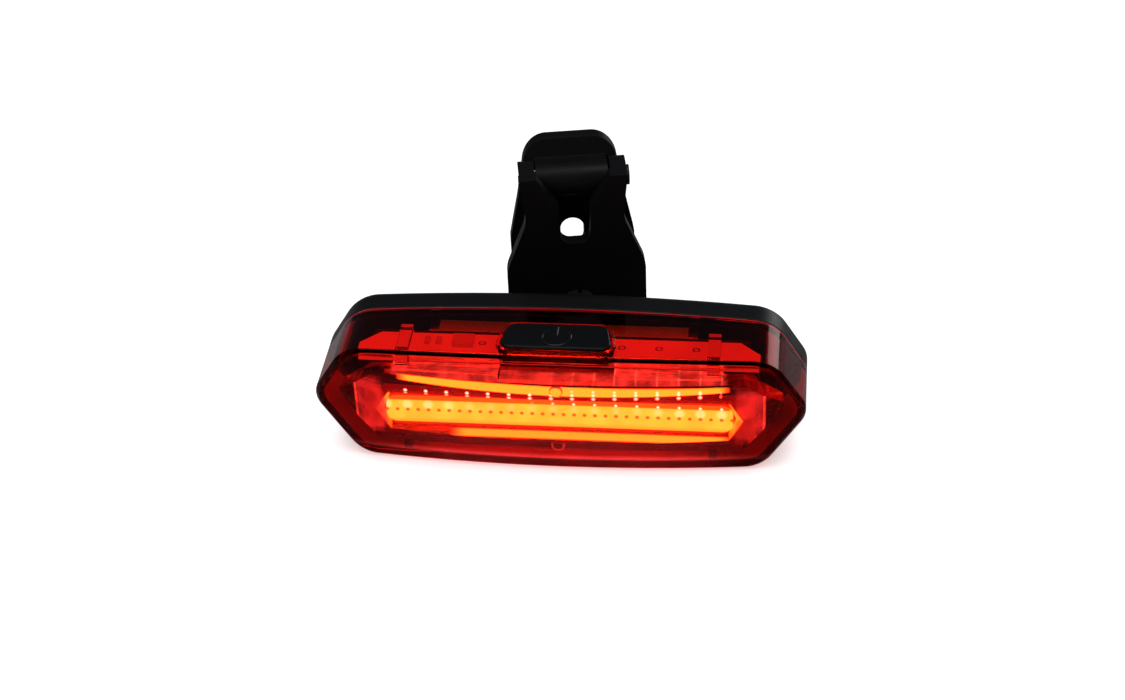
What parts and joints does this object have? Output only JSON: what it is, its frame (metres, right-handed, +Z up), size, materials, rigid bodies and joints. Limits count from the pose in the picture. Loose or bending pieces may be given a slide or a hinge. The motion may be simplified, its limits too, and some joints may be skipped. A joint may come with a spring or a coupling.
{
  "type": "bicycle rear light",
  "caption": "Clip-on red rear light for a bicycle: long bowed lens over an LED strip, top power button, charging socket under a flap, and a hinged spring clip behind.",
  "frame": {"origin": "centre of the flat underside that the lamp rests on", "axes": "+X along the lamp's long side, -Y out of the lens, +Z up through the power button"},
  "size_m": [0.075, 0.0397, 0.0372],
  "materials": {
    "housing_black": "fine satin moulded",
    "lens_red": "clear deep red, polished",
    "gasket_rubber": "soft matt",
    "button_black": "soft touch",
    "optic_clear": "clear, polished facets",
    "phosphor_yellow": "silicone, smooth",
    "die_gold": "small dies",
    "strip_aluminium": "white masked face",
    "spreader_aluminium": "rolled",
    "board_mask": "white solder mask",
    "chip_black": "moulded",
    "switch_steel": "pressed",
    "plunger_black": "moulded",
    "screw_steel": "zinc plated",
    "chassis_black": "moulded",
    "cell_foil": "embossed foil",
    "tape_amber": "thin film",
    "foam_black": "open cell",
    "socket_steel": "nickel plated",
    "led_clear": "small lens",
    "flap_rubber": "soft matt",
    "pin_steel": "ground",
    "yoke_black": "fine satin moulded",
    "screw_black": "black oxide",
    "nut_black": "black oxide",
    "washer_steel": "spring steel",
    "clip_black": "satin moulded",
    "pin_black": "black oxide",
    "spring_steel": "spring wire",
    "pad_rubber": "ribbed, soft",
    "lever_black": "satin moulded"
  },
  "bodies": {
    "lamp": {"rear_housing": "housing_black", "lens_cover": "lens_red", "housing_gasket": "gasket_rubber", "optic_frame": "optic_clear", "led_phosphor": "phosphor_yellow", "led_dies": "die_gold", "led_strip": "strip_aluminium", "heat_spreader": "spreader_aluminium", "main_board": "board_mask", "board_parts": "chip_black", "switch_body": "switch_steel", "board_screws": "screw_steel", "inner_chassis": "chassis_black", "battery_cell": "cell_foil", "battery_tape": "tape_amber", "battery_foam": "foam_black", "charge_board": "board_mask", "charge_socket": "socket_steel", "charge_tongue": "plunger_black", "charge_led": "led_clear", "flap_pin": "pin_steel", "mount_yoke": "yoke_black", "yoke_screws": "screw_black", "aim_screw": "screw_black", "aim_nut": "nut_black", "aim_washer": "washer_steel"},
    "button": {"power_button": "button_black"},
    "plunger": {"switch_plunger": "plunger_black"},
    "flap": {"port_flap": "flap_rubber"},
    "clip": {"clip_bracket": "clip_black", "hinge_pin": "pin_black", "torsion_spring": "spring_steel", "front_pad": "pad_rubber"},
    "lever": {"clip_lever": "lever_black", "rear_pad": "pad_rubber"}
  },
  "joints": [
    {"name": "button_press", "type": "slide", "parent": "lamp", "child": "button", "axis": [0, 0, -1], "range_m": [0, 0.0004], "stiffness_N_per_m": 600, "springref_m": -0.0005},
    {"name": "plunger_press", "type": "slide", "parent": "lamp", "child": "plunger", "axis": [0, 0, -1], "range_m": [0, 0.0004]},
    {"name": "flap_hinge", "type": "hinge", "parent": "lamp", "child": "flap", "pos_m": [0.026, 0.00715, 0.01215], "axis": [1, 0, 0], "range_deg": [0, 90]},
    {"name": "clip_aim", "type": "hinge", "parent": "lamp", "child": "clip", "pos_m": [0.0014, 0.0122, 0.0098], "axis": [0, 0, 1], "range_deg": [-40, 20]},
    {"name": "clip_open", "type": "hinge", "parent": "clip", "child": "lever", "pos_m": [-0.00009, 0.02067, 0.0328], "axis": [0.9848, 0.1736, 0], "range_deg": [0, 16], "stiffness_Nm_per_rad": 0.15, "springref_deg": -17.19}
  ],
  "couplings": [
    {"joint": "plunger_press", "follows": "button_press", "ratio": 1}
  ]
}
